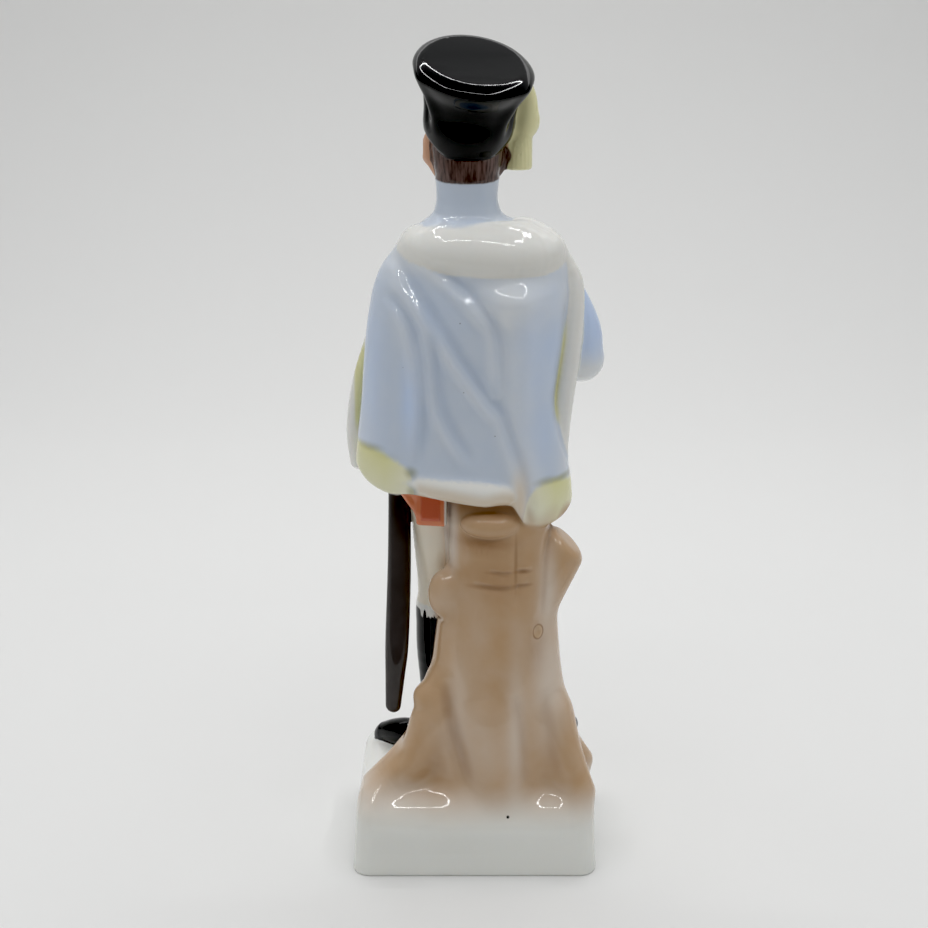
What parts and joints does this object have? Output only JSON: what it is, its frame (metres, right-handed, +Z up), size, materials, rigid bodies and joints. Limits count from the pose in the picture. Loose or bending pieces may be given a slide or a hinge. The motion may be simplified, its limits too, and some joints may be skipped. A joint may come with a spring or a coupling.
{
  "type": "officer figurine",
  "caption": "Glazed porcelain figurine of a standing hussar officer in a fur-trimmed cape and shako, backed by a tree stump on a rectangular plinth.",
  "frame": {"origin": "centre of the plinth's underside, on the surface that the figurine stands on", "axes": "+Z up the figure; the figure faces -Y, so its back and the stump face +Y; +X towards the figure's own left, the sabre's side"},
  "size_m": [0.0832, 0.062, 0.2676],
  "materials": {
    "glazed_porcelain": "hand-painted porcelain under a clear gloss glaze: white plinth, stump airbrushed brown, pale blue cape, black shako and boots"
  },
  "bodies": {
    "root": {"officer_figurine": "glazed_porcelain"}
  },
  "joints": []
}
